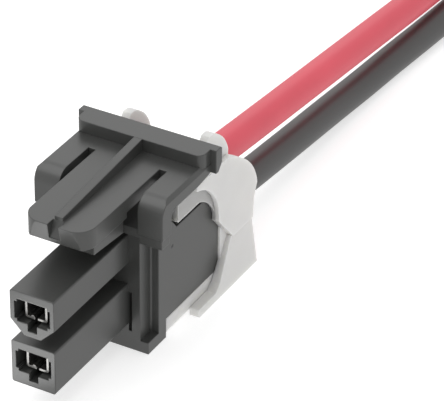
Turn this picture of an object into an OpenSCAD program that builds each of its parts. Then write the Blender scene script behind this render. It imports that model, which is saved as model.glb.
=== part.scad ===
// Wire-to-board cable assembly: a two-circuit receptacle with its latch, retainer, terminals and leads.
// Millimetres. X runs across, Y back along the wires, Z up. The mating end faces -Y.
// Inside the modules Y is measured back from the mating face, and seated() moves it to the part's frame.

/* [Circuits] */
// Distance between the two circuits, one above the other
circuit_pitch = 5.7; // [5.4:0.1:6.6]
// Height of the lower circuit above the resting face
lower_circuit_height = 5.2; // [4.9:0.1:6.2]
// Clearance between the pieces that slide into each other
fit_gap = 0.06; // [0.03:0.01:0.12]

/* [Silos] */
// Width of each mating silo
silo_width = 4.8; // [4.5:0.1:5.2]
// Height of each mating silo
silo_height = 4.75; // [4.5:0.05:5]
// Length of the silos in front of the body
silo_length = 13.4; // [11:0.1:16]
// Polarising chamfer under the upper silo
silo_chamfer = 1.5; // [0.8:0.1:1.6]
// Rounding along the silos' edges
silo_corner = 0.2; // [0.1:0.05:0.4]

/* [Terminal cavity] */
// Width of the opening in each silo
mouth_width = 3.9; // [3.5:0.1:4.1]
// Height of the opening above its floor
mouth_height = 2.5; // [2.4:0.05:2.8]
// Depth of the opening's floor below the circuit's axis
mouth_drop = 0.98; // [0.8:0.02:1.2]
// Step in the opening's corners
mouth_step = 0.3; // [0.2:0.05:0.5]
// Width of the key slot under the opening
key_width = 1; // [0.6:0.1:1.4]
// Depth of the key slot
key_depth = 0.8; // [0.5:0.1:1]
// Room around the terminal in the wire bore
bore_gap = 0.15; // [0.1:0.01:0.25]

/* [Body] */
// Width of the body
body_width = 9.2; // [8.6:0.1:10.5]
// Length of the body behind the silos
body_length = 13.6; // [12:0.1:18]
// Space between the upper silo and the roof
roof_space = 1.02; // [0.8:0.02:1.4]
// Thickness of the roof over the silos
roof_thickness = 0.95; // [0.7:0.05:1.2]
// Length of the flange that meets the board connector
flange_length = 3.4; // [2.4:0.1:4.5]
// Depth of the flange below the rest of the body
flange_drop = 2.2; // [1.8:0.1:2.4]
// Width of the notch in each front corner
notch_width = 0.9; // [0.5:0.05:1.1]
// Length of the corner notch
notch_length = 2; // [1.2:0.1:2.6]
// Height of the ledge under the corner notch
ledge_height = 1.3; // [0.8:0.1:2]
// Fillet in the corner notch
notch_fillet = 0.2; // [0.1:0.05:0.45]
// Width of the draw slit beside the lower silo
slit_width = 0.35; // [0.2:0.05:0.5]
// Height of the draw slit
slit_height = 4.5; // [3:0.1:5]
// Depth of the draw slit
slit_depth = 1; // [0.5:0.1:1.5]

/* [Latch] */
// Distance from the silos' back ends forward to the latch legs
leg_lead = 1.5; // [1:0.1:3]
// Height of the latch plate's top above the roof
latch_rise = 3.55; // [3.2:0.05:4.4]
// Thickness of the legs
leg_thickness = 1.65; // [1.3:0.05:2.2]
// Thickness of the latch plate
plate_thickness = 1.5; // [1.1:0.05:1.8]
// Outer radius of the bend over each leg
bend_radius = 1.65; // [1.4:0.05:2.2]
// Inner radius of the bend
bend_inside = 0.9; // [0.5:0.1:1.2]
// Width of the latch plate across both legs
plate_width = 14.2; // [13.6:0.1:15]
// Bevel along the sides of the latch plate
plate_bevel = 0.35; // [0.1:0.05:0.6]
// Width of the ears that carry the legs
ear_width = 13.8; // [13:0.1:14]
// Thickness of the ears
ear_thickness = 1.6; // [1:0.05:1.7]
// Distance that the ears stand back from the front of the legs
ear_setback = 0.2; // [0.1:0.05:0.6]
// Distance that the legs reach down in front of the ears
leg_drop = 0.45; // [0.2:0.05:0.8]
// Width of the tongue
tongue_width = 7.1; // [6.6:0.1:7.6]
// Reach of the tongue in front of the legs
tongue_reach = 8; // [6:0.1:9.5]
// Corner radius of the tongue
tongue_corner = 1.9; // [1:0.1:2.5]
// Width of the slots between tongue and legs
slot_width = 0.8; // [0.5:0.05:1]
// Length of the slots behind the front of the legs
slot_length = 5.5; // [4.5:0.1:7.5]
// Depth of the hook under the tongue
hook_height = 3.4; // [2.8:0.1:3.6]
// Distance from the tongue's tip back to the hook
hook_setback = 2.1; // [1.5:0.1:3]
// Distance that the tongue's tip slants back towards its lower edge
lip_slant = 0.4; // [0:0.05:0.6]
// Thickness of the tongue above the hook
lip_thickness = 2.1; // [1.6:0.05:2.4]
// Length of the hook's underside
hook_length = 5.3; // [4:0.1:6.5]
// Fall of the hook's underside towards its catch
hook_fall = 0.5; // [0.2:0.1:0.8]
// Step in from the tongue's side to the hook's side
hook_step = 0.4; // [0.2:0.05:0.8]
// Width of the nick in the tongue's tip
nick_width = 1.2; // [0.8:0.1:1.6]
// Length of the nick
nick_length = 1.1; // [0.6:0.1:1.6]
// Depth of the nick, which slopes up to the rib
nick_depth = 1.6; // [0.8:0.1:1.8]

/* [Thumb pad] */
// Width of the rib along the tongue
rib_width = 0.9; // [0.6:0.1:1.4]
// Height of the rib at its front
rib_front_height = 0.4; // [0.2:0.05:0.8]
// Distance from the legs back to the pad
pad_setback = 7.5; // [6.8:0.1:8.5]
// Length of the pad
pad_length = 1.65; // [1.2:0.05:2.4]
// Width of the pad
pad_width = 14.1; // [13:0.1:14.2]
// Height of the pad above the latch plate
pad_height = 1.35; // [1:0.05:1.8]
// Rounding of the pad's ends
pad_corner = 0.8; // [0.3:0.1:1.2]
// Width of the press bar behind the pad
bar_width = 15.4; // [14.8:0.1:16.4]
// Depth of the press bar
bar_length = 1.1; // [0.8:0.05:1.6]
// Height of the press bar
bar_height = 2.55; // [2.2:0.05:2.8]
// Bevel along the press bar's back edge
bar_bevel = 0.15; // [0.05:0.05:0.3]
// Length over which the plate thins towards the press bar
thinning_length = 2.4; // [1:0.1:3]

/* [Retainer] */
// Thickness of the retainer's cheeks
cheek_thickness = 0.84; // [0.7:0.02:1.1]
// Step from the upper cheek in to the lower one
cheek_step = 0.15; // [0.05:0.05:0.3]
// Flare of the lower cheek towards its foot
cheek_flare = 0.45; // [0.2:0.05:0.6]
// Thickness of the web around the relief in front of the cheek
web_thickness = 0.3; // [0.2:0.05:0.4]
// Reach of the cheeks behind the body
cheek_reach = 6.4; // [6:0.1:9]
// Reach of the cheeks in front of the body's rear
cheek_lead = 5.7; // [5:0.1:6.5]
// Height of the skirt in front of the lower cheek
skirt_height = 0.85; // [0.6:0.05:1.2]
// Thickness of the retainer's rear wall
rear_wall = 1.4; // [1:0.1:1.8]
// Thickness of the plate under the body
floor_plate = 1.54; // [1.2:0.02:1.7]
// Height of the finger's lower edge above the lower silo's axis
finger_rise = 7.35; // [7:0.05:7.6]
// Height of the finger
finger_height = 2; // [1.6:0.1:2.2]
// Depth of the groove that holds the finger
groove_depth = 0.8; // [0.5:0.05:1]
// Distance from the flange's front back to the finger's tip
finger_setback = 5.15; // [4.6:0.05:6.2]
// Room below the finger in its groove
finger_room = 0.75; // [0.4:0.05:1]
// Room in front of the finger's tip in its groove
tip_room = 0.8; // [0.4:0.1:1]
// Slant across the groove's lower front corner
groove_slant = 1.1; // [0.6:0.1:1.4]
// Radius of the relief in front of the cheek
cheek_relief = 5.9; // [5.2:0.1:6.1]
// Distance from the relief back to the body's rear
relief_back = 1.3; // [1:0.1:2]
// Height of the relief's middle above the lower circuit
relief_rise = 3.8; // [3.4:0.1:4.2]
// Thickness of the lugs over the roof
lug_thickness = 0.9; // [0.7:0.05:1.2]
// Height of the lugs above the roof
lug_rise = 3.6; // [3:0.05:4]
// Reach of the lugs in front of the body's rear
lug_reach = 3; // [2.4:0.1:3.6]

/* [Terminals] */
// Width of the contact box
box_width = 2.45; // [2.3:0.05:2.8]
// Height of the contact box
box_height = 2.2; // [2:0.05:2.25]
// Recess of the contact box behind the mating face
box_recess = 0.75; // [0.6:0.05:1.5]
// Thickness of the terminal's sheet metal
sheet = 0.25; // [0.2:0.01:0.3]
// Width of the seam under the contact box
box_seam = 0.3; // [0.15:0.05:0.4]
// Room under the contact box
box_lift = 0.18; // [0.1:0.02:0.25]
// Distance from the contact box's front back to the spring's tip
spring_tip = 3; // [2:0.1:4]
// Distance from the contact box's front back to the spring's crest
spring_crest = 5; // [4.5:0.1:6.5]
// Height of the spring's crest above the floor of the box
spring_rise = 0.55; // [0.4:0.05:0.8]
// Width of the spring
spring_width = 1.4; // [1:0.1:1.6]
// Width of the strip that carries the crimps
strip_width = 1.2; // [0.8:0.1:1.6]
// Length of that strip inside the contact box
strip_length = 3; // [2:0.1:4]
// Distance from the contact box back to the conductor crimp
crimp_setback = 1.8; // [1.4:0.1:2.4]
// Length of the conductor crimp
crimp_length = 2.8; // [2:0.1:3.4]
// Distance from the conductor crimp back to the insulation
crimp_gap = 0.4; // [0.3:0.05:0.8]
// Length of the insulation crimp
insulation_crimp = 2.6; // [2:0.1:3]

/* [Leads] */
// Diameter of the wire over its insulation
wire_diameter = 3.4; // [3.2:0.05:3.6]
// Diameter of the stranded conductor
conductor_diameter = 1.95; // [1.7:0.05:2.1]
// Length of the tinned end of each lead
tinned_length = 6; // [3:0.5:10]

/* [Hidden] */
$fn = 48;

housing_colour = [0.13, 0.13, 0.14];
retainer_colour = [0.86, 0.86, 0.84];
tin_colour = [0.72, 0.73, 0.74];
red_colour = [0.7, 0.08, 0.11];
black_colour = [0.05, 0.05, 0.055];

// Overlap of shapes that are joined into one solid
overlap = 0.2;

// Stations along Y, from the mating face
body_rear = silo_length + body_length;
overall_length = body_rear + cheek_reach;
leg_front = silo_length - leg_lead;
leg_rear = leg_front + leg_thickness;
ear_front = leg_front + ear_setback;
tongue_front = leg_front - tongue_reach;
hook_front = tongue_front + hook_setback;
hook_rear = hook_front + hook_length;
slot_rear = leg_front + slot_length;
pad_front = leg_front + pad_setback;
bar_front = pad_front + pad_length;
bar_rear = bar_front + bar_length;
flange_rear = silo_length + flange_length;
finger_tip = silo_length + finger_setback;
wall_rear = body_rear + fit_gap + rear_wall;

// Heights
upper_circuit_height = lower_circuit_height + circuit_pitch;
roof_under = upper_circuit_height + silo_height / 2 + roof_space;
roof_top = roof_under + roof_thickness;
ear_under = roof_top - ear_thickness;
plate_top = roof_top + latch_rise;
plate_under = plate_top - plate_thickness;
pad_top = plate_top + pad_height;
bar_under = pad_top - bar_height;
lip_under = plate_top - lip_thickness;
hook_under = plate_top - hook_height;
hook_lowest = hook_under - hook_fall;
finger_under = lower_circuit_height + finger_rise;
finger_top = finger_under + finger_height;
cheek_parting = lower_circuit_height + 0.3;
cheek_height = roof_top - cheek_parting;
relief_height = lower_circuit_height + relief_rise;

// Widths
cheek_inside = body_width / 2 + fit_gap;
cheek_outside = cheek_inside + cheek_thickness;
arm_gap = tongue_width + 2 * slot_width;

// Terminal and wire bore
wire_radius = wire_diameter / 2;
crimp_slack = 0.02;
barrel_inside = wire_radius + crimp_slack;
barrel_outside = barrel_inside + sheet;
bore_radius = barrel_outside + bore_gap;
bore_front = silo_length + 0.4;
crimp_front = bore_front + crimp_setback;
crimp_rear = crimp_front + crimp_length;
lead_front = crimp_rear + crimp_gap;
crimp_inside = conductor_diameter / 2 + crimp_slack;
crimp_outside = crimp_inside + sheet;
strand_lead = 0.4;

// Each lead runs straight out of its bore and then through points given as
// [across, behind the body, above the resting face]
red_bends = [[0, 3, 10.8], [0, 9, 10.1], [0, 18, 9.2], [0, 27, 8.35], [0, 36, 7.5], [0, 45, 6.65],
    [0, 54, 5.8], [-0.2, 63, 4.9], [-0.6, 72, 4.1], [-1, 81, 3.4], [-1.4, 90, 2.75], [-1.7, 99, 2.2],
    [-1.9, 108, 1.85], [-2, 117, 1.7], [-2, 126, 1.7], [-2, 135, 1.7]];
black_bends = [[0, 3, 4.85], [0, 9, 4.3], [0, 15, 3.75], [0, 24, 2.95], [0, 33, 2.2], [0.2, 40, 1.8],
    [0.5, 46, 1.7], [1.1, 54, 1.7], [1.7, 63, 1.7], [2.2, 72, 1.7], [2.6, 81, 1.7], [2.9, 90, 1.7],
    [3.1, 99, 1.7], [3.2, 108, 1.7], [3.2, 117, 1.7], [3.2, 126, 1.7], [3.2, 135, 1.7]];
wire_sides = 8;

function lead_route(height, bends) = concat(
    [[0, lead_front, height], [0, body_rear, height]],
    [for (bend = bends) [bend[0], body_rear + bend[1], bend[2]]]);

// Quadratic curve from one point to another, drawn towards a third
function curve(from, towards, to, steps = 8) = [for (i = [0:steps])
    let (t = i / steps) (1 - t) * (1 - t) * from + 2 * t * (1 - t) * towards + t * t * to];

function unit(v) = v / norm(v);

// Direction of a route at one of its points
function heading(route, i) = unit(route[min(i + 1, len(route) - 1)] - route[max(i - 1, 0)]);

// Ring of points around a route's point
function ring(route, i, radius) =
    let (ahead = heading(route, i), side = unit(cross(ahead, [0, 0, 1])), up = cross(side, ahead))
    [for (k = [0:wire_sides - 1])
        let (a = (k + 0.5) * 360 / wire_sides) route[i] + radius * (cos(a) * side + sin(a) * up)];

// Moves a piece from the mating face's stations to the part's frame
module seated() {
    translate([0, -overall_length / 2, 0]) children();
}

// Extrudes a profile drawn across and up, back from a station
module along_y(front, length) {
    translate([0, front + length, 0]) rotate([90, 0, 0]) linear_extrude(length) children();
}

// Extrudes a profile drawn back and up, to the right from a place across
module along_x(left, width) {
    translate([left, 0, 0]) rotate([90, 0, 90]) linear_extrude(width) children();
}

// Repeats a piece on both sides
module both_sides() {
    children();
    mirror([1, 0, 0]) children();
}

// Rectangle about the origin with rounded corners
module rounded_rectangle(width, height, radius) {
    square([width, height - 2 * radius], center = true);
    square([width - 2 * radius, height], center = true);
    for (side = [-1, 1], end = [-1, 1])
        translate([side * (width / 2 - radius), end * (height / 2 - radius)]) circle(radius);
}

// Silo section about its circuit's axis
module silo_section(chamfer) {
    difference() {
        rounded_rectangle(silo_width, silo_height, silo_corner);
        if (chamfer > 0)
            for (side = [-1, 1])
                translate([side * silo_width / 2, -silo_height / 2]) rotate(45)
                    square(chamfer * sqrt(2), center = true);
    }
}

// Opening in a silo, about its circuit's axis
module mouth_section() {
    translate([-mouth_width / 2, mouth_step - mouth_drop]) square([mouth_width, mouth_height - 2 * mouth_step]);
    translate([mouth_step - mouth_width / 2, -mouth_drop]) square([mouth_width - 2 * mouth_step, mouth_height]);
    translate([-key_width / 2, -mouth_drop - key_depth]) square([key_width, key_depth + mouth_height / 2]);
}

// Passage for one terminal and its wire, right through the housing
module terminal_passage(height) {
    translate([0, 0, height]) {
        along_y(-1, bore_front + 1 + overlap) mouth_section();
        translate([0, bore_front, 0]) rotate([-90, 0, 0]) cylinder(r = bore_radius, h = body_length);
    }
}

// Body block with its flange, the roof over the silos and the ears beside it
module body_block() {
    half = body_width / 2;
    translate([-half, silo_length, flange_drop]) cube([body_width, body_length, roof_top - flange_drop]);
    translate([-half, silo_length, 0]) cube([body_width, flange_length, flange_drop + 1]);
    translate([-half, ear_front, roof_under]) cube([body_width, silo_length - ear_front + 1, roof_thickness]);
    both_sides() translate([half - overlap, ear_front, ear_under])
        cube([ear_width / 2 - half + overlap, leg_rear - ear_front, ear_thickness]);
}

// Notch in the right front corner of the body, from the ledge up to the ear
module corner_notch() {
    height = ear_under - ledge_height;
    translate([body_width / 2 - notch_width, silo_length, ledge_height]) linear_extrude(height) difference() {
        translate([0, -1]) square([notch_width + 1, notch_length + 1]);
        difference() {
            translate([0, notch_length - notch_fillet]) square(notch_fillet);
            translate([notch_fillet, notch_length - notch_fillet]) circle(notch_fillet);
        }
    }
}

// Draw slit beside the root of the lower silo
module draw_slit() {
    translate([silo_width / 2, silo_length - 1, lower_circuit_height - silo_height / 2 - 0.7])
        cube([slit_width, slit_depth + 1, slit_height]);
}

// Groove in the body's right side, which holds the retainer's finger
module finger_groove() {
    front = finger_tip - tip_room;
    low = finger_under - finger_room;
    along_x(body_width / 2 - groove_depth, groove_depth + 1) polygon([[front, finger_top + fit_gap],
        [front, low + 1.2 * groove_slant], [front + groove_slant, low], [body_rear + 1, low],
        [body_rear + 1, finger_top + fit_gap]]);
}

// Leg, bend and plate of the latch, drawn back and up
module arm_profile() {
    foot = roof_top - leg_drop;
    difference() {
        translate([leg_front, foot]) square([bar_front - leg_front + overlap, plate_top - foot]);
        difference() {
            translate([leg_front - 1, plate_top - bend_radius]) square([bend_radius + 1, bend_radius + 1]);
            translate([leg_front + bend_radius, plate_top - bend_radius]) circle(bend_radius);
        }
        translate([leg_rear, foot - 1]) square([bar_front, plate_under - bend_inside - foot + 1]);
        translate([leg_rear + bend_inside, foot]) square([bar_front, plate_under - foot]);
        translate([leg_rear + bend_inside, plate_under - bend_inside]) circle(bend_inside);
        polygon([[bar_front - thinning_length, plate_under], [bar_front, bar_under],
            [bar_front + 1, bar_under], [bar_front + 1, plate_under - 1],
            [bar_front - thinning_length, plate_under - 1]]);
    }
}

// The two legs with the plate that joins them
module latch_frame() {
    difference() {
        along_x(-plate_width / 2, plate_width) arm_profile();
        translate([-arm_gap / 2, leg_front - 1, 0]) cube([arm_gap, slot_length + 1, plate_top + 1]);
        both_sides() translate([plate_width / 2, 0, plate_top]) along_y(leg_front - 1, body_length) rotate(45)
            square(plate_bevel * sqrt(2), center = true);
    }
}

// Plan of the tongue with its rounded tip
module tongue_plan() {
    half = tongue_width / 2;
    translate([-half, tongue_front + tongue_corner])
        square([tongue_width, slot_rear - tongue_front - tongue_corner + overlap]);
    translate([tongue_corner - half, tongue_front])
        square([tongue_width - 2 * tongue_corner, tongue_corner + overlap]);
    for (side = [-1, 1])
        translate([side * (half - tongue_corner), tongue_front + tongue_corner]) circle(tongue_corner);
}

// Tongue and hook in profile, drawn back and up
module tongue_profile() {
    polygon([[tongue_front, plate_top], [tongue_front + lip_slant, lip_under], [hook_front, lip_under],
        [hook_front, hook_under], [hook_rear, hook_lowest], [hook_rear, plate_under],
        [slot_rear + overlap, plate_under], [slot_rear + overlap, plate_top]]);
}

// Tongue with its hook, the step along the hook's sides and the nick in the tip
module tongue() {
    difference() {
        intersection() {
            linear_extrude(plate_top) tongue_plan();
            along_x(-tongue_width / 2, tongue_width) tongue_profile();
        }
        both_sides() translate([tongue_width / 2 - hook_step, tongue_front, hook_lowest - 1])
            cube([hook_step + 1, hook_rear - tongue_front + 1, lip_under - hook_lowest + 1]);
        along_x(-nick_width / 2, nick_width) polygon([[tongue_front - 1, plate_top - nick_depth],
            [tongue_front + lip_slant, plate_top - nick_depth], [tongue_front + nick_length, plate_top],
            [tongue_front + nick_length, plate_top + 1], [tongue_front - 1, plate_top + 1]]);
    }
}

// Plan of the pad with its rounded ends
module pad_plan() {
    half = pad_width / 2;
    translate([-half, pad_front + pad_corner]) square([pad_width, pad_length - pad_corner + overlap]);
    translate([pad_corner - half, pad_front]) square([pad_width - 2 * pad_corner, pad_length]);
    for (side = [-1, 1])
        translate([side * (half - pad_corner), pad_front + pad_corner]) circle(pad_corner);
}

// Rib, pad and press bar that the thumb pushes
module thumb_pad() {
    rib_front = tongue_front + nick_length;
    along_x(-rib_width / 2, rib_width) polygon([[rib_front, plate_top - overlap],
        [rib_front, plate_top + rib_front_height], [pad_front + overlap, pad_top],
        [pad_front + overlap, plate_top - overlap]]);
    translate([0, 0, plate_top - overlap]) linear_extrude(pad_height + overlap) pad_plan();
    along_x(-bar_width / 2, bar_width) polygon([[bar_front, bar_under],
        [bar_front + 0.4 * bar_length, bar_under], [bar_rear, bar_under + 0.3 * bar_height],
        [bar_rear, pad_top - bar_bevel], [bar_rear - bar_bevel, pad_top], [bar_front, pad_top]]);
}

// One-piece moulded receptacle with its silos, body and lever latch
module receptacle_housing() {
    color(housing_colour) seated() difference() {
        union() {
            translate([0, 0, lower_circuit_height]) along_y(0, silo_length + overlap) silo_section(0);
            translate([0, 0, upper_circuit_height])
                along_y(0, silo_length + overlap) silo_section(silo_chamfer);
            body_block();
            latch_frame();
            tongue();
            thumb_pad();
        }
        terminal_passage(lower_circuit_height);
        terminal_passage(upper_circuit_height);
        both_sides() {
            corner_notch();
            draw_slit();
            finger_groove();
        }
    }
}

// Upper cheek, drawn back from the body's rear and up
module upper_cheek() {
    difference() {
        polygon(concat([[-cheek_lead, roof_top], [0.16 * cheek_reach, roof_top]],
            curve([0.17 * cheek_reach, cheek_parting + 0.985 * cheek_height],
                [0.91 * cheek_reach, cheek_parting + 0.73 * cheek_height],
                [cheek_reach, cheek_parting + 0.4 * cheek_height], 12),
            curve([cheek_reach, cheek_parting + 0.38 * cheek_height],
                [0.92 * cheek_reach, cheek_parting + 0.28 * cheek_height],
                [0.91 * cheek_reach, cheek_parting + 0.2 * cheek_height], 4),
            [[0.88 * cheek_reach, cheek_parting], [0.25 * cheek_reach, cheek_parting],
            [-relief_back - 0.5, relief_height + 0.35], [-cheek_lead, relief_height + 0.35]]));
        translate([-relief_back - cheek_relief, relief_height]) circle(cheek_relief);
    }
}

// Web behind the relief, which carries the finger, drawn back from the body's rear and up
module finger_web() {
    tip = finger_tip - body_rear;
    back = 0.1 * cheek_reach;
    polygon(concat([[tip, finger_under]],
        curve([-relief_back - 1.5 * finger_height, finger_under],
            [-relief_back - 0.4 * finger_height, finger_under - 0.45 * finger_height],
            [-relief_back, finger_under - 1.45 * finger_height], 6),
        [[-relief_back, relief_height], [back, cheek_parting + 0.12 * cheek_height], [back, finger_top],
        [tip, finger_top]]));
}

// Lower cheek with its skirt, drawn back from the body's rear and up
module lower_cheek() {
    polygon([[0.23 * cheek_reach, cheek_parting], [0.88 * cheek_reach, cheek_parting], [0.95 * cheek_reach, 0],
        [-cheek_lead, 0], [-cheek_lead, skirt_height], [-0.39 * cheek_lead, skirt_height],
        [-0.23 * cheek_lead, 0.27 * cheek_parting], [0.05 * cheek_reach, 0.71 * cheek_parting]]);
}

// Section of the lower cheek, flared towards its foot, drawn across and up
module flared_section() {
    top = cheek_outside - cheek_step;
    polygon([[cheek_inside, 0], [top + cheek_flare, 0], [top, cheek_parting], [cheek_inside, cheek_parting]]);
}

// Lug that reaches over the roof, drawn back from the body's rear and up
module lug() {
    low = roof_top + fit_gap;
    rear = fit_gap + rear_wall;
    polygon(concat([[fit_gap, low], [-lug_reach, low], [-0.93 * lug_reach, low + 0.84 * lug_rise],
        [-0.77 * lug_reach, low + lug_rise]],
        curve([-0.5 * lug_reach, low + lug_rise], [0.55 * rear, low + 0.68 * lug_rise],
            [rear, low + 0.1 * lug_rise], 8),
        [[rear, roof_under - 1], [fit_gap, roof_under - 1]]));
}

// White retainer that clips on behind and locks the terminals in
module terminal_retainer() {
    floor_top = flange_drop - fit_gap;
    floor_front = flange_rear + fit_gap;
    finger_inside = body_width / 2 - groove_depth + fit_gap;
    color(retainer_colour) seated() difference() {
        union() {
            both_sides() {
                along_x(cheek_inside, cheek_thickness) translate([body_rear, 0]) upper_cheek();
                intersection() {
                    along_x(cheek_inside, cheek_thickness + cheek_flare)
                        translate([body_rear, 0]) lower_cheek();
                    along_y(0, overall_length) flared_section();
                }
                along_x(cheek_inside, web_thickness) translate([body_rear, 0]) finger_web();
                along_x(cheek_inside + overlap - lug_thickness, lug_thickness) translate([body_rear, 0]) lug();
                along_x(finger_inside, cheek_inside + web_thickness - finger_inside)
                    translate([finger_tip, finger_under]) square([wall_rear - finger_tip, finger_height]);
            }
            translate([-cheek_inside - overlap, body_rear + fit_gap, floor_top - floor_plate])
                cube([2 * (cheek_inside + overlap), rear_wall, roof_under - floor_top + floor_plate]);
            translate([-body_width / 2, floor_front, floor_top - floor_plate])
                cube([body_width, wall_rear - floor_front, floor_plate]);
        }
        for (height = [lower_circuit_height, upper_circuit_height])
            translate([0, body_rear, height]) rotate([-90, 0, 0]) cylinder(r = bore_radius, h = rear_wall + 1);
    }
}

// Ring of sheet metal around a circuit's axis
module barrel(front, length, inside, outside) {
    translate([0, front, 0]) rotate([-90, 0, 0]) difference() {
        cylinder(r = outside, h = length);
        translate([0, 0, -1]) cylinder(r = inside, h = length + 2);
    }
}

// Stamped box terminal with its conductor and insulation crimps, about its circuit's axis
module box_terminal() {
    low = box_lift - mouth_drop;
    floor = low + sheet;
    half = box_width / 2;
    leaf = 0.8 * sheet;
    strip_front = bore_front - strip_length;
    tip = box_recess + spring_tip;
    crest = box_recess + spring_crest;
    hold = lead_front + crimp_gap;
    along_y(box_recess, bore_front - box_recess) {
        difference() {
            translate([-half, low]) square([box_width, box_height]);
            translate([sheet - half, floor]) square([box_width - 2 * sheet, box_height - 2 * sheet]);
            translate([-box_seam / 2, low - 1]) square([box_seam, sheet + 2]);
            for (side = [-1, 1]) difference() {
                translate([side * half, low]) square(2 * sheet, center = true);
                translate([side * (half - sheet), floor]) circle(sheet);
            }
        }
        translate([-box_seam / 2 - sheet, floor]) circle(leaf);
    }
    along_x(-strip_width / 2, strip_width) polygon([[strip_front, low + sheet / 2], [bore_front, low],
        [crimp_front - strand_lead, -crimp_outside], [crimp_rear, -crimp_outside],
        [crimp_rear + overlap, crimp_slack - barrel_outside], [hold + overlap, crimp_slack - barrel_outside],
        [hold + overlap, -barrel_inside - crimp_slack], [lead_front - overlap, -barrel_inside - crimp_slack],
        [crimp_rear - overlap, -crimp_inside - crimp_slack],
        [crimp_front - strand_lead, -crimp_inside - crimp_slack],
        [bore_front - overlap, floor], [strip_front, floor]]);
    along_x(-spring_width / 2, spring_width) polygon([[strip_front, low + sheet / 2],
        [crest, floor + spring_rise],
        [tip, floor + leaf / 2], [tip, floor + 1.5 * leaf], [crest, floor + spring_rise + leaf],
        [strip_front, floor + leaf / 2]]);
    barrel(crimp_front, crimp_length, crimp_inside, crimp_outside);
    barrel(hold, insulation_crimp, barrel_inside, barrel_outside);
}

module upper_terminal() {
    color(tin_colour) seated() translate([0, 0, upper_circuit_height]) box_terminal();
}

module lower_terminal() {
    color(tin_colour) seated() translate([0, 0, lower_circuit_height]) box_terminal();
}

// Bare strands inside the crimp, ending at the insulation
module conductor(height) {
    translate([0, crimp_front - strand_lead / 2, height]) rotate([-90, 0, 0])
        cylinder(d = conductor_diameter, h = lead_front - crimp_front + strand_lead / 2);
}

module upper_conductor() {
    color(tin_colour) seated() conductor(upper_circuit_height);
}

module lower_conductor() {
    color(tin_colour) seated() conductor(lower_circuit_height);
}

// Tube swept along a route
module tube(route, radius) {
    last = len(route) - 1;
    points = [for (i = [0:last]) each ring(route, i, radius)];
    near_cap = [for (k = [0:wire_sides - 1]) k];
    far_cap = [for (k = [0:wire_sides - 1]) (last + 1) * wire_sides - 1 - k];
    walls = [for (i = [0:last - 1], k = [0:wire_sides - 1])
        let (a = i * wire_sides + k, b = i * wire_sides + (k + 1) % wire_sides)
        each [[a, a + wire_sides, b], [b, a + wire_sides, b + wire_sides]]];
    polyhedron(points, concat([near_cap, far_cap], walls));
}

module red_wire() {
    color(red_colour) seated() tube(lead_route(upper_circuit_height, red_bends), wire_radius);
}

module black_wire() {
    color(black_colour) seated() tube(lead_route(lower_circuit_height, black_bends), wire_radius);
}

// Tinned strands beyond the last bend of a lead
module tinned_end(bends) {
    last = bends[len(bends) - 1];
    translate([last[0], body_rear + last[1], last[2]]) rotate([-90, 0, 0])
        cylinder(d = conductor_diameter, h = tinned_length);
}

module red_tinned_end() {
    color(tin_colour) seated() tinned_end(red_bends);
}

module black_tinned_end() {
    color(tin_colour) seated() tinned_end(black_bends);
}

receptacle_housing();
terminal_retainer();
upper_terminal();
lower_terminal();
upper_conductor();
lower_conductor();
red_wire();
black_wire();
red_tinned_end();
black_tinned_end();
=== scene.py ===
"""Looks of a two-circuit wire-to-board cable assembly: leads, tinned ends, finishes and stage.

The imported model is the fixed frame. Everything is in metres and in its frame:
X across, Y back along the wires, Z up from the resting face.
"""

import math

import bpy
from bpy.props import FloatProperty, FloatVectorProperty, IntProperty, PointerProperty
from bpy.types import Operator, Panel, PropertyGroup
from mathutils import Matrix, Vector


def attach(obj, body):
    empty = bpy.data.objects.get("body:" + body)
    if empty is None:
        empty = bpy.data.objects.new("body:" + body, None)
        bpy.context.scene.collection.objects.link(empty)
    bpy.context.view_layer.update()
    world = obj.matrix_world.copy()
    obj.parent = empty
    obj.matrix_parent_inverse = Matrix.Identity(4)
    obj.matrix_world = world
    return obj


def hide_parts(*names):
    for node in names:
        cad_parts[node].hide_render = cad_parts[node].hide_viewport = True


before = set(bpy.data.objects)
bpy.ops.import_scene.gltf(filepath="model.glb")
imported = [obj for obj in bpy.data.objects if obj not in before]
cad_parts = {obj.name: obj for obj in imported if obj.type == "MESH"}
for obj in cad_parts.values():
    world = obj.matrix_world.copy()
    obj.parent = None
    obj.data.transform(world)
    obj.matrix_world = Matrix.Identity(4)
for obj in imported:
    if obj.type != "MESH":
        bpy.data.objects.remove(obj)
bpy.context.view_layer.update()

bl_info = {
    "name": "Cable assembly looks",
    "version": (1, 0, 0),
    "blender": (4, 5, 0),
    "location": "3D View > Sidebar > Cable",
    "description": "Lays the leads of a cable assembly and finishes its mouldings and terminals",
    "category": "Object",
}

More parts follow.
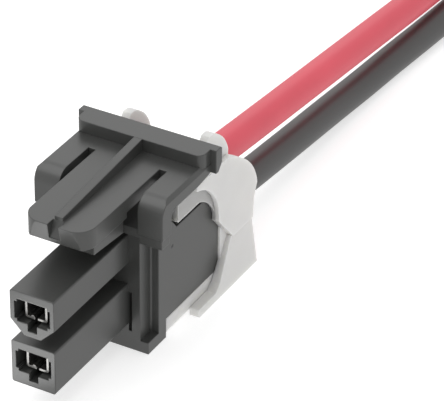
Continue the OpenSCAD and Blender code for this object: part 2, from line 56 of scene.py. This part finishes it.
# Routes of the leads, from the crimp to the end of the insulation
RED_ROUTE = (
    (0, 0.0021, 0.0109), (0, 0.0103, 0.0109), (0, 0.0133, 0.0108), (0, 0.0193, 0.0101),
    (0, 0.0283, 0.0092), (0, 0.0373, 0.00835), (0, 0.0463, 0.0075), (0, 0.0553, 0.00665),
    (0, 0.0643, 0.0058), (-0.0002, 0.0733, 0.0049), (-0.0006, 0.0823, 0.0041),
    (-0.001, 0.0913, 0.0034), (-0.0014, 0.1003, 0.00275), (-0.0017, 0.1093, 0.0022),
    (-0.0019, 0.1183, 0.00185), (-0.002, 0.1273, 0.0017), (-0.002, 0.1363, 0.0017),
    (-0.002, 0.1453, 0.0017),
)
BLACK_ROUTE = (
    (0, 0.0021, 0.0052), (0, 0.0103, 0.0052), (0, 0.0133, 0.00485), (0, 0.0193, 0.0043),
    (0, 0.0253, 0.00375), (0, 0.0343, 0.00295), (0, 0.0433, 0.0022), (0.0002, 0.0503, 0.0018),
    (0.0005, 0.0563, 0.0017), (0.0011, 0.0643, 0.0017), (0.0017, 0.0733, 0.0017),
    (0.0022, 0.0823, 0.0017), (0.0026, 0.0913, 0.0017), (0.0029, 0.1003, 0.0017),
    (0.0031, 0.1093, 0.0017), (0.0032, 0.1183, 0.0017), (0.0032, 0.1273, 0.0017),
    (0.0032, 0.1363, 0.0017), (0.0032, 0.1453, 0.0017),
)

# Layers of strands round the middle one: how many in each, and how tightly it is laid
STRAND_LAYERS = ((6, 1), (12, 0.985))
STRAND_SIDES = 12

# Round dimple on the right side of the housing, painted dark as the shade that a corner above it casts
SHADED_DIMPLE = (0.0046, 0.00125, 0.01008)
SHADED_DIMPLE_RADIUS = 0.0003

# Web of the retainer, thinner than its cheeks, painted darker as shade for the latch's shadow and the dark
# housing behind it: half its width, its reach each way along Y, its foot and its top
SHADED_WEB_HALF_WIDTH, SHADED_WEB_REACH, SHADED_WEB_FOOT, SHADED_WEB_TOP = 0.00505, 0.0103, 0.0088, 0.0152


class LeadSettings(PropertyGroup):
    """Sizes of the two leads"""

    wire_diameter: FloatProperty(
        name="Wire diameter", description="Diameter over the insulation",
        default=0.0034, min=0.001, unit="LENGTH", precision=5)
    strand_diameter: FloatProperty(
        name="Strand diameter", description="Diameter of one strand of the conductor",
        default=0.00039, min=0.0001, unit="LENGTH", precision=5)
    tinned_length: FloatProperty(
        name="Tinned length", description="Length of bare tinned strands at the end of a lead",
        default=0.006, min=0.002, unit="LENGTH", precision=5)
    strand_twist: FloatProperty(
        name="Strand twist", description="Turn of the strands over the tinned length",
        default=math.radians(84), subtype="ANGLE")
    twist_steps: IntProperty(
        name="Twist steps", description="Rings that each strand is made of",
        default=14, min=4, max=40)


class FinishSettings(PropertyGroup):
    """Colours and edge rounding of the finishes"""

    housing_colour: FloatVectorProperty(
        name="Housing", description="Colour of the moulded housing",
        subtype="COLOR", size=4, min=0, max=1, default=(0.042, 0.043, 0.041, 1))
    retainer_colour: FloatVectorProperty(
        name="Retainer", description="Colour of the white retainer",
        subtype="COLOR", size=4, min=0, max=1, default=(0.64, 0.635, 0.626, 1))
    tin_colour: FloatVectorProperty(
        name="Tin plating", description="Colour of the terminals' plating",
        subtype="COLOR", size=4, min=0, max=1, default=(0.34, 0.336, 0.325, 1))
    strand_colour: FloatVectorProperty(
        name="Tinned strands", description="Colour of the solder-dipped strands",
        subtype="COLOR", size=4, min=0, max=1, default=(0.66, 0.635, 0.6, 1))
    red_colour: FloatVectorProperty(
        name="Red insulation", description="Colour of the upper circuit's wire",
        subtype="COLOR", size=4, min=0, max=1, default=(0.66, 0.062, 0.094, 1))
    black_colour: FloatVectorProperty(
        name="Black insulation", description="Colour of the lower circuit's wire",
        subtype="COLOR", size=4, min=0, max=1, default=(0.053, 0.052, 0.051, 1))
    edge_radius: FloatProperty(
        name="Edge radius", description="Rounding that the mouldings' edges show",
        default=0.00016, min=0, unit="LENGTH", precision=5)


class StageSettings(PropertyGroup):
    """Camera, floor and light"""

    azimuth: FloatProperty(
        name="Azimuth", description="Turn of the camera round the part",
        default=math.radians(29.08), subtype="ANGLE")
    elevation: FloatProperty(
        name="Elevation", description="Height of the camera above the horizon",
        default=math.radians(32.72), subtype="ANGLE")
    roll: FloatProperty(
        name="Roll", description="Turn of the camera about its own axis",
        default=math.radians(0.6), subtype="ANGLE")
    distance: FloatProperty(
        name="Distance", description="From the camera to the point that it looks at",
        default=0.3, min=0.05, unit="LENGTH")
    target: FloatVectorProperty(
        name="Target", description="Point that the camera looks at",
        default=(0.00894, 0.0033, 0.01556), size=3, subtype="TRANSLATION", precision=5)
    focal_length: FloatProperty(
        name="Focal length", description="Focal length in millimetres on a 36 mm sensor",
        default=254.42, min=10)
    floor_colour: FloatVectorProperty(
        name="Floor", description="Colour of the floor",
        subtype="COLOR", size=4, min=0, max=1, default=(0.7, 0.7, 0.7, 1))
    floor_glow: FloatProperty(
        name="Floor glow", description="Light that the floor gives off, which lifts the shadows on it",
        default=0.56, min=0)
    sky_strength: FloatProperty(
        name="Surrounding light", description="Brightness of the white surround",
        default=0.74, min=0)
    key_power: FloatProperty(
        name="Key light", description="Power of the softbox over the part",
        default=1.0, min=0, unit="POWER")
    sheen_power: FloatProperty(
        name="Sheen light", description="Power of the softbox behind that the upper faces reflect",
        default=0.19, min=0, unit="POWER")
    card_power: FloatProperty(
        name="Front card", description="Power of the low card that the silos' fronts reflect",
        default=0.0015, min=0, unit="POWER")


class Reading:
    """A value that varies over a surface. Arithmetic on it adds Math nodes."""

    def __init__(self, finish, socket):
        self.finish = finish
        self.socket = socket

    def maths(self, operation, first, second):
        return self.finish.node("ShaderNodeMath", {"operation": operation}, {0: first, 1: second})

    def __add__(self, other):
        return self.maths("ADD", self, other)

    def __radd__(self, other):
        return self.maths("ADD", other, self)

    def __sub__(self, other):
        return self.maths("SUBTRACT", self, other)

    def __rsub__(self, other):
        return self.maths("SUBTRACT", other, self)

    def __mul__(self, other):
        return self.maths("MULTIPLY", self, other)

    def __rmul__(self, other):
        return self.maths("MULTIPLY", other, self)


class Finish:
    """A procedural material on Object coordinates."""

    def __init__(self, name):
        self.material = bpy.data.materials.new(name)
        self.material.use_nodes = True
        self.tree = self.material.node_tree
        self.tree.nodes.clear()
        self.place = self.node("ShaderNodeTexCoord", output="Object")

    def node(self, kind, settings=None, inputs=None, output=0):
        """Adds a node, sets it up, fills or links its sockets and gives one of its outputs."""
        made = self.tree.nodes.new(kind)
        for name, value in (settings or {}).items():
            if name == "stops":
                ramp = made.color_ramp.elements
                ramp[0].position, ramp[0].color = value[0]
                ramp[1].position, ramp[1].color = value[-1]
                for position, colour in value[1:-1]:
                    ramp.new(position).color = colour
            else:
                setattr(made, name, value)
        for key, value in (inputs or {}).items():
            if isinstance(value, Reading):
                self.tree.links.new(value.socket, made.inputs[key])
            else:
                made.inputs[key].default_value = value
        return Reading(self, made.outputs[output]) if made.outputs else None

    def noise(self, size, stretch=(1, 1, 1), detail=2.0, roughness=0.5):
        """Noise with features of a size in metres, drawn out along the axes by stretch."""
        placed = self.node("ShaderNodeMapping", {"vector_type": "TEXTURE"},
                           {"Vector": self.place, "Scale": Vector(stretch)})
        return self.node("ShaderNodeTexNoise", {}, {
            "Vector": placed, "Scale": 1 / size, "Detail": detail, "Roughness": roughness})

    def mix(self, share, first, second):
        """Colour between two colours."""
        return self.node("ShaderNodeMix", {"data_type": "RGBA"}, {0: share, 6: first, 7: second}, output=2)

    def rounded(self, radius):
        """Normal that rolls over the outward edges and leaves the inward corners sharp."""
        rolled = self.node("ShaderNodeBevel", {"samples": 8}, {"Radius": radius})
        flat = self.node("ShaderNodeNewGeometry", output="Normal")
        clear = self.node("ShaderNodeAmbientOcclusion", {"samples": 8, "only_local": True},
                          {"Distance": radius * 3}, output="AO")
        outward = self.node("ShaderNodeMapRange", {"clamp": True}, {
            "Value": clear, "From Min": 0.8, "From Max": 0.95, "To Min": 0.0, "To Max": 1.0})
        return self.node("ShaderNodeMix", {"data_type": "VECTOR"}, {0: outward, 4: flat, 5: rolled}, output=1)

    def spot(self, place, radius):
        """1 at a place on the part, falling to 0 at a distance."""
        away = self.node("ShaderNodeVectorMath", {"operation": "DISTANCE"},
                         {0: self.place, 1: Vector(place)}, output="Value")
        return self.node("ShaderNodeMapRange", {"clamp": True, "interpolation_type": "SMOOTHSTEP"}, {
            "Value": away, "From Min": 0.0, "From Max": radius, "To Min": 1.0, "To Max": 0.0})

    def within(self, axis, limit):
        """1 where the distance from the middle along an axis is below a limit, else 0."""
        along = self.node("ShaderNodeSeparateXYZ", {}, {0: self.place}, output=axis)
        return self.node("ShaderNodeMath", {"operation": "LESS_THAN"}, {
            0: self.node("ShaderNodeMath", {"operation": "ABSOLUTE"}, {0: along}), 1: limit})

    def edge(self, rolled):
        """0 on a face, rising where the rolled normal leaves it."""
        flat = self.node("ShaderNodeNewGeometry", output="Normal")
        facing = self.node("ShaderNodeVectorMath", {"operation": "DOT_PRODUCT"},
                           {0: rolled, 1: flat}, output="Value")
        return self.node("ShaderNodeMapRange", {"clamp": True}, {
            "Value": 1 - facing, "From Min": 0.01, "From Max": 0.22, "To Min": 0.0, "To Max": 1.0})

    def bump(self, height, depth, normal=None):
        """Relief of a depth in metres, on the plain normal or on one that is given."""
        inputs = {"Strength": 1.0, "Distance": depth, "Height": height}
        if normal is not None:
            inputs["Normal"] = normal
        return self.node("ShaderNodeBump", {}, inputs)

    def surface(self, **sockets):
        """Ends the tree in a Principled shader."""
        inputs = {name.replace("_", " "): value for name, value in sockets.items()}
        shader = self.node("ShaderNodeBsdfPrincipled", {}, inputs)
        self.node("ShaderNodeOutputMaterial", {}, {"Surface": shader})
        return self.material


def shade(colour, factor):
    """A colour made lighter or darker."""
    return tuple(min(1.0, part * factor) for part in colour[:3]) + (1.0,)


def charcoal_moulding(finishes):
    """Glass-filled charcoal plastic with a fine spark-eroded grain."""
    finish = Finish("charcoal_moulding")
    rolled = finish.rounded(finishes.edge_radius)
    outward_edges = finish.edge(rolled)
    cloud = finish.noise(0.0035, detail=3.0)
    fleck = finish.noise(0.00022, detail=1.0)
    flow = finish.noise(0.0006, (1, 7, 1), detail=2.0)
    body = finish.mix(cloud, shade(finishes.housing_colour, 0.86), shade(finishes.housing_colour, 1.14))
    glassy = finish.mix(fleck * 0.35, body, shade(finishes.housing_colour, 1.3))
    # The outward edges are lightened
    edged = finish.mix(outward_edges * 0.12, glassy, shade(finishes.housing_colour, 1.9))
    # Painted shade: the housing is darkened round a small dimple on its right side
    shaded_dimple = finish.spot(SHADED_DIMPLE, SHADED_DIMPLE_RADIUS)
    colour = finish.mix(shaded_dimple * 0.85, edged, shade(finishes.housing_colour, 0.2))
    grain = finish.noise(0.00009, detail=2.0, roughness=0.6)
    dimpled = finish.bump(1 - shaded_dimple, 0.00012, rolled)
    relief = finish.bump(grain * 0.7 + flow * 0.3, 0.000006, dimpled)
    return finish.surface(
        Base_Color=colour, Roughness=0.28 + cloud * 0.08 + fleck * 0.05,
        Specular_IOR_Level=0.83, Normal=relief)


def natural_nylon(finishes):
    """Milky white nylon, a little see-through, with painted shade on its thinner web and painted highlight on
    its outward edges.
    """
    finish = Finish("natural_nylon")
    rolled = finish.rounded(finishes.edge_radius)
    outward_edges = finish.edge(rolled)
    cloud = finish.noise(0.003, detail=3.0)
    flow = finish.noise(0.0008, (1, 5, 1), detail=2.0)
    body = finish.mix(cloud, shade(finishes.retainer_colour, 0.96), shade(finishes.retainer_colour, 1.04))
    # Painted shade: the web under the latch is darkened to stand for the latch's shadow and the dark housing
    # behind it
    web_shade_mask = finish.within("X", SHADED_WEB_HALF_WIDTH) * finish.within("Y", SHADED_WEB_REACH) * finish.within("Z", SHADED_WEB_TOP)
    web_shade_mask = web_shade_mask * (1 - finish.within("Z", SHADED_WEB_FOOT))
    web_in_painted_shade = finish.mix(web_shade_mask, body, shade(finishes.retainer_colour, 0.6))
    # Painted highlight: the outward edges are lightened
    colour = finish.mix(outward_edges * 0.4, web_in_painted_shade, shade(finishes.retainer_colour, 1.2))
    relief = finish.bump(flow * 0.5 + finish.noise(0.00012) * 0.5, 0.000005, rolled)
    return finish.surface(
        Base_Color=colour, Roughness=0.42 + flow * 0.12, Subsurface_Weight=0.8,
        Subsurface_Radius=(0.0012, 0.0012, 0.0011), Subsurface_Scale=1.0, Normal=relief)


def tin_plate(finishes):
    """Bright tin over rolled strip, with the strip's drawing marks."""
    finish = Finish("tin_plate")
    rolled = finish.rounded(finishes.edge_radius * 0.4)
    streak = finish.noise(0.00007, (1, 30, 1), detail=2.0)
    bloom = finish.noise(0.0007, detail=2.0)
    colour = finish.mix(bloom, shade(finishes.tin_colour, 0.86), shade(finishes.tin_colour, 1.1))
    relief = finish.bump(streak * 0.6 + bloom * 0.4, 0.000003, rolled)
    return finish.surface(
        Base_Color=colour, Metallic=1.0, Roughness=0.3 + streak * 0.14 + bloom * 0.1, Normal=relief)


def tinned_copper(finishes):
    """Solder-dipped copper strands, duller than plating and a little copper-warm."""
    finish = Finish("tinned_copper")
    cloud = finish.noise(0.0009, (1, 2, 1), detail=3.0)
    streak = finish.noise(0.00006, (1, 18, 1), detail=2.0)
    colour = finish.mix(cloud, shade(finishes.strand_colour, 0.82), shade(finishes.strand_colour, 1.1))
    relief = finish.bump(streak * 0.5 + cloud * 0.5, 0.000006)
    return finish.surface(
        Base_Color=colour, Metallic=1.0, Roughness=0.26 + cloud * 0.14, Normal=relief)


def vinyl_insulation(name, colour):
    """Extruded wire insulation with faint lengthwise die lines."""
    finish = Finish(name)
    die_line = finish.noise(0.00016, (1, 60, 1), detail=3.0, roughness=0.6)
    cloud = finish.noise(0.0045, (1, 2, 1), detail=2.0)
    scuff = finish.noise(0.0011, (1, 6, 1), detail=4.0, roughness=0.7)
    body = finish.mix(cloud, shade(colour, 0.9), shade(colour, 1.1))
    dusted = finish.mix(scuff * 0.12, body, shade(colour, 1.6))
    relief = finish.bump(die_line * 0.7 + scuff * 0.3, 0.00001)
    return finish.surface(
        Base_Color=dusted, Roughness=0.34 + scuff * 0.16, Specular_IOR_Level=0.75, Normal=relief)


def dress(piece, material):
    """Gives a piece one finish all over."""
    piece.data.materials.clear()
    piece.data.materials.append(material)


def dress_node(name, material):
    """Gives a CAD node a finish through its material slots."""
    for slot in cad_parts[name].material_slots:
        slot.material = material


def clear_selection():
    """Leaves edit mode and deselects everything."""
    if bpy.context.mode != "OBJECT":
        bpy.ops.object.mode_set(mode="OBJECT")
    bpy.ops.object.select_all(action="DESELECT")


class CABLE_OT_set_stage(Operator):
    """Sets up the camera, the floor and the light"""

    bl_idname = "cable_assembly.set_stage"
    bl_label = "Set the stage"

    def execute(self, context):
        stage = context.scene.cable_stage
        self.aim_camera(context, stage)
        self.lay_floor(stage)
        self.light(context, stage)
        return {"FINISHED"}

    def aim_camera(self, context, stage):
        """A camera at the photograph's viewing angle."""
        turn, lift = stage.azimuth, stage.elevation
        back = Vector((math.sin(turn) * math.cos(lift), -math.cos(turn) * math.cos(lift), math.sin(lift)))
        across = Vector((math.cos(turn), math.sin(turn), 0))
        up = back.cross(across)
        right = across * math.cos(stage.roll) + up * math.sin(stage.roll)
        above = up * math.cos(stage.roll) - across * math.sin(stage.roll)
        bpy.ops.object.camera_add()
        camera = context.object
        camera.name = "photo_camera"
        camera.matrix_world = Matrix.Translation(Vector(stage.target) + back * stage.distance) @ Matrix(
            (right, above, back)).transposed().to_4x4()
        camera.data.sensor_fit = "HORIZONTAL"
        camera.data.sensor_width = 36
        camera.data.lens = stage.focal_length
        camera.data.clip_start = 0.01
        camera.data.clip_end = 10
        context.scene.camera = camera

    def lay_floor(self, stage):
        """A plain pale floor."""
        clear_selection()
        bpy.ops.mesh.primitive_plane_add(size=3, location=(0, 0, 0))
        floor = bpy.context.object
        floor.name = "floor"
        finish = Finish("studio_floor")
        cloud = finish.noise(0.05, detail=2.0)
        colour = finish.mix(cloud, shade(stage.floor_colour, 0.995), shade(stage.floor_colour, 1.005))
        dress(floor, finish.surface(
            Base_Color=colour, Roughness=0.7, Specular_IOR_Level=0.2,
            Emission_Color=(1, 1, 1, 1), Emission_Strength=stage.floor_glow))
        floor.visible_glossy = False  # gloss shows the even surround instead

    def light(self, context, stage):
        """A white surround, two softboxes and a low card in front."""
        world = bpy.data.worlds.new("white_surround")
        world.use_nodes = True
        surround = world.node_tree.nodes["Background"]
        surround.inputs["Color"].default_value = (1, 1, 1, 1)
        surround.inputs["Strength"].default_value = stage.sky_strength
        context.scene.world = world
        context.scene.view_settings.view_transform = "Standard"
        self.hang("key_softbox", (-0.12, -0.1, 0.45), 0.6, stage.key_power)
        self.hang("sheen_softbox", (-0.2, 0.37, 0.27), 0.4, stage.sheen_power)
        self.hang("front_card", (-0.006, -0.026, 0.0008), 0.016, stage.card_power, Vector((0, 0, 1)))

    def hang(self, name, place, size, power, facing=None):
        """A round area light that faces the part or another way, and that the camera does not see."""
        clear_selection()
        bpy.ops.object.light_add(type="AREA", location=place)
        lamp = bpy.context.object
        lamp.name = name
        lamp.data.shape = "DISK"
        lamp.data.size = size
        lamp.data.energy = power
        lamp.visible_camera = False
        aim = facing or Vector((0, 0, 0.01)) - lamp.location
        lamp.rotation_euler = aim.to_track_quat("-Z", "Y").to_euler()


class CABLE_OT_twist_tinned_ends(Operator):
    """Twists the bare tinned strands at the ends of the leads"""

    bl_idname = "cable_assembly.twist_tinned_ends"
    bl_label = "Twist the tinned ends"

    def execute(self, context):
        material = tinned_copper(context.scene.cable_finishes)
        for name, node, route in (
                ("red_strands", "red_tinned_end", RED_ROUTE),
                ("black_strands", "black_tinned_end", BLACK_ROUTE)):
            strands = self.twist(context.scene.cable_leads, name, Vector(route[-1]))
            dress(strands, material)
            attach(strands, "root")
            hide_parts(node)
        return {"FINISHED"}

    def twist(self, leads, name, end):
        """Nineteen strands in two layers round a middle one, run on in steps and turned at each."""
        radius = leads.strand_diameter / 2
        places = [(0, 0)]
        for layer, (count, lay) in enumerate(STRAND_LAYERS, start=1):
            reach = layer * leads.strand_diameter * lay
            places += [(reach * math.cos(turn), reach * math.sin(turn))
                       for turn in (2 * math.pi * (k + 0.5 * (layer - 1)) / count for k in range(count))]
        clear_selection()
        circles = []
        for across, up in places:
            bpy.ops.mesh.primitive_circle_add(
                vertices=STRAND_SIDES, radius=radius, fill_type="NGON", rotation=(math.pi / 2, 0, 0),
                location=(end.x + across, end.y, end.z + up))
            circles.append(bpy.context.object)
        for circle in circles:
            circle.select_set(True)
        bpy.ops.object.join()
        strands = bpy.context.object
        strands.name = name
        bpy.ops.object.transform_apply(location=True, rotation=True, scale=True)
        step = leads.tinned_length / (leads.twist_steps + 1)
        bpy.ops.object.mode_set(mode="EDIT")
        bpy.ops.mesh.select_mode(type="FACE")
        bpy.ops.mesh.select_all(action="SELECT")
        for _ in range(leads.twist_steps):
            bpy.ops.mesh.extrude_region_move(TRANSFORM_OT_translate={"value": (0, step, 0)})
            bpy.ops.transform.rotate(
                value=leads.strand_twist / leads.twist_steps, orient_axis="Y", center_override=end)
        bpy.ops.mesh.inset(thickness=radius * 0.35, depth=step * 0.4, use_individual=True)
        bpy.ops.mesh.select_all(action="SELECT")
        bpy.ops.mesh.normals_make_consistent(inside=False)
        bpy.ops.object.mode_set(mode="OBJECT")
        bpy.ops.object.shade_smooth_by_angle(angle=math.radians(50))
        return strands


class CABLE_OT_lay_leads(Operator):
    """Lays the two insulated wires along their routes"""

    bl_idname = "cable_assembly.lay_leads"
    bl_label = "Lay the leads"

    def execute(self, context):
        leads = context.scene.cable_leads
        finishes = context.scene.cable_finishes
        for colour, paint, route in (
                ("red", finishes.red_colour, RED_ROUTE), ("black", finishes.black_colour, BLACK_ROUTE)):
            wire = self.lay(leads, colour + "_lead", route)
            dress(wire, vinyl_insulation(colour + "_insulation", paint))
            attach(wire, "root")
            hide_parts(colour + "_wire")
        return {"FINISHED"}

    def lay(self, leads, name, route):
        """A round tube on one smooth curve through the route's points."""
        line = bpy.data.curves.new(name, "CURVE")
        line.dimensions = "3D"
        line.resolution_u = 10
        line.bevel_depth = leads.wire_diameter / 2
        line.bevel_resolution = 8
        line.use_fill_caps = True
        spline = line.splines.new("BEZIER")
        spline.bezier_points.add(len(route) - 1)
        for point, place in zip(spline.bezier_points, route):
            point.co = place
            point.handle_left_type = point.handle_right_type = "AUTO"
        spline.use_smooth = True
        wire = bpy.data.objects.new(name, line)
        bpy.context.scene.collection.objects.link(wire)
        return wire


class CABLE_OT_finish_housing(Operator):
    """Finishes the moulded housing and its latch"""

    bl_idname = "cable_assembly.finish_housing"
    bl_label = "Finish the housing"

    def execute(self, context):
        dress_node("receptacle_housing", charcoal_moulding(context.scene.cable_finishes))
        return {"FINISHED"}


class CABLE_OT_finish_retainer(Operator):
    """Finishes the white retainer"""

    bl_idname = "cable_assembly.finish_retainer"
    bl_label = "Finish the retainer"

    def execute(self, context):
        dress_node("terminal_retainer", natural_nylon(context.scene.cable_finishes))
        return {"FINISHED"}


class CABLE_OT_finish_terminals(Operator):
    """Finishes the box terminals and the conductors in their crimps"""

    bl_idname = "cable_assembly.finish_terminals"
    bl_label = "Finish the terminals"

    def execute(self, context):
        finishes = context.scene.cable_finishes
        plate = tin_plate(finishes)
        strand = tinned_copper(finishes)
        for circuit in ("upper", "lower"):
            dress_node(circuit + "_terminal", plate)
            dress_node(circuit + "_conductor", strand)
        return {"FINISHED"}


STEPS = (CABLE_OT_set_stage, CABLE_OT_twist_tinned_ends, CABLE_OT_lay_leads, CABLE_OT_finish_housing,
         CABLE_OT_finish_retainer, CABLE_OT_finish_terminals)


class CABLE_PT_looks(Panel):
    """Sizes, colours and steps of the cable assembly"""

    bl_idname = "CABLE_PT_looks"
    bl_label = "Cable assembly"
    bl_space_type = "VIEW_3D"
    bl_region_type = "UI"
    bl_category = "Cable"

    def draw(self, context):
        for title, group in (("Leads", context.scene.cable_leads), ("Finishes", context.scene.cable_finishes),
                             ("Stage", context.scene.cable_stage)):
            box = self.layout.box()
            box.label(text=title)
            for name in group.__annotations__:
                box.prop(group, name)
        for step in STEPS:
            self.layout.operator(step.bl_idname)


GROUPS = (("cable_leads", LeadSettings), ("cable_finishes", FinishSettings), ("cable_stage", StageSettings))


def register():
    for name, group in GROUPS:
        bpy.utils.register_class(group)
        setattr(bpy.types.Scene, name, PointerProperty(type=group))
    for step in STEPS:
        bpy.utils.register_class(step)
    bpy.utils.register_class(CABLE_PT_looks)


def unregister():
    bpy.utils.unregister_class(CABLE_PT_looks)
    for step in reversed(STEPS):
        bpy.utils.unregister_class(step)
    for name, group in reversed(GROUPS):
        delattr(bpy.types.Scene, name)
        bpy.utils.unregister_class(group)


def main():
    register()
    bpy.ops.cable_assembly.set_stage()
    bpy.ops.cable_assembly.twist_tinned_ends()
    bpy.ops.cable_assembly.lay_leads()
    bpy.ops.cable_assembly.finish_housing()
    bpy.ops.cable_assembly.finish_retainer()
    bpy.ops.cable_assembly.finish_terminals()


if __name__ == "__main__":
    main()
